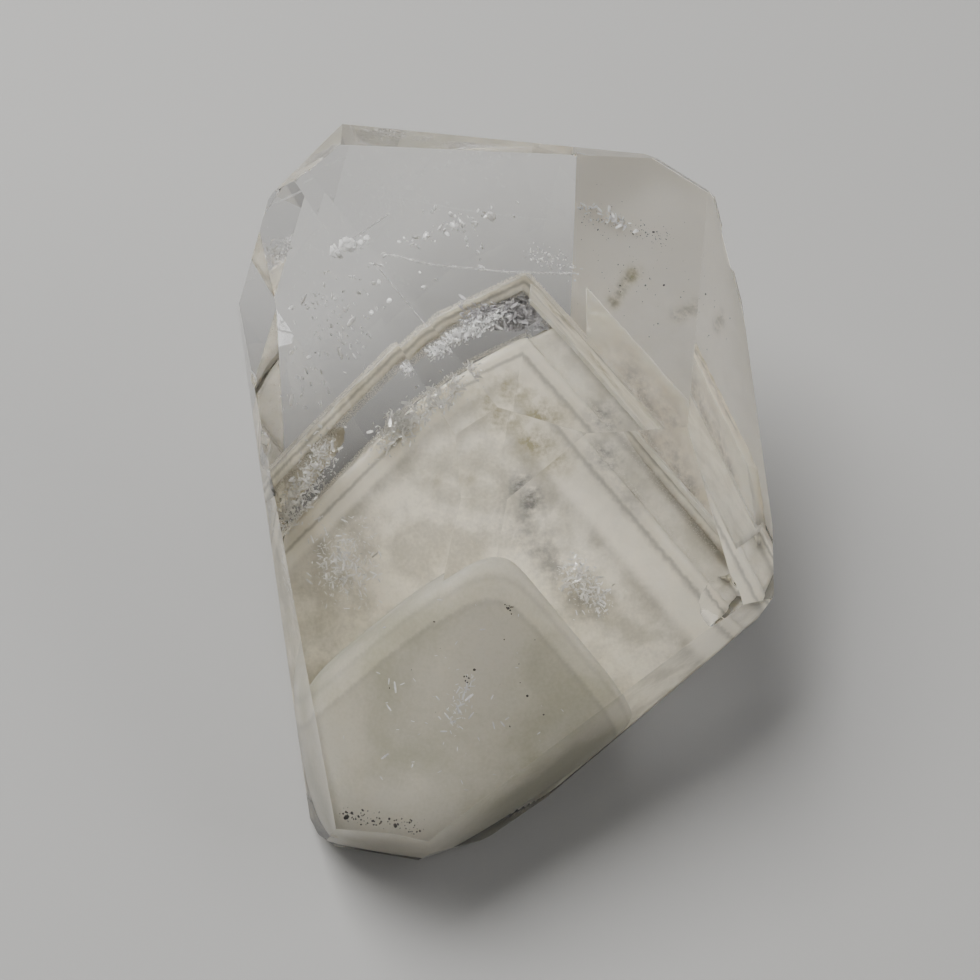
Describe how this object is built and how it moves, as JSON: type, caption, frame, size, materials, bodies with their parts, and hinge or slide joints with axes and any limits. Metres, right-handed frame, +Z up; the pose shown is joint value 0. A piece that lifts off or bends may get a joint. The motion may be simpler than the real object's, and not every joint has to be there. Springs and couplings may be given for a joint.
{
  "type": "phantom quartz crystal",
  "caption": "Clear polished quartz crystal with flat cut faces, nested milky phantom pyramids and a cloudy core, lying on its back face.",
  "frame": {"origin": "on the surface the stone lies on, under the middle of its bounding box", "axes": "+Z up from the bed face, +Y towards the clear raised head end, +X to the stone's right as its broad front is looked at"},
  "size_m": [0.0462, 0.0608, 0.0341],
  "materials": {
    "quartz": "polished, clear, see-through"
  },
  "bodies": {
    "root": {"phantom_quartz": "quartz"}
  },
  "joints": []
}
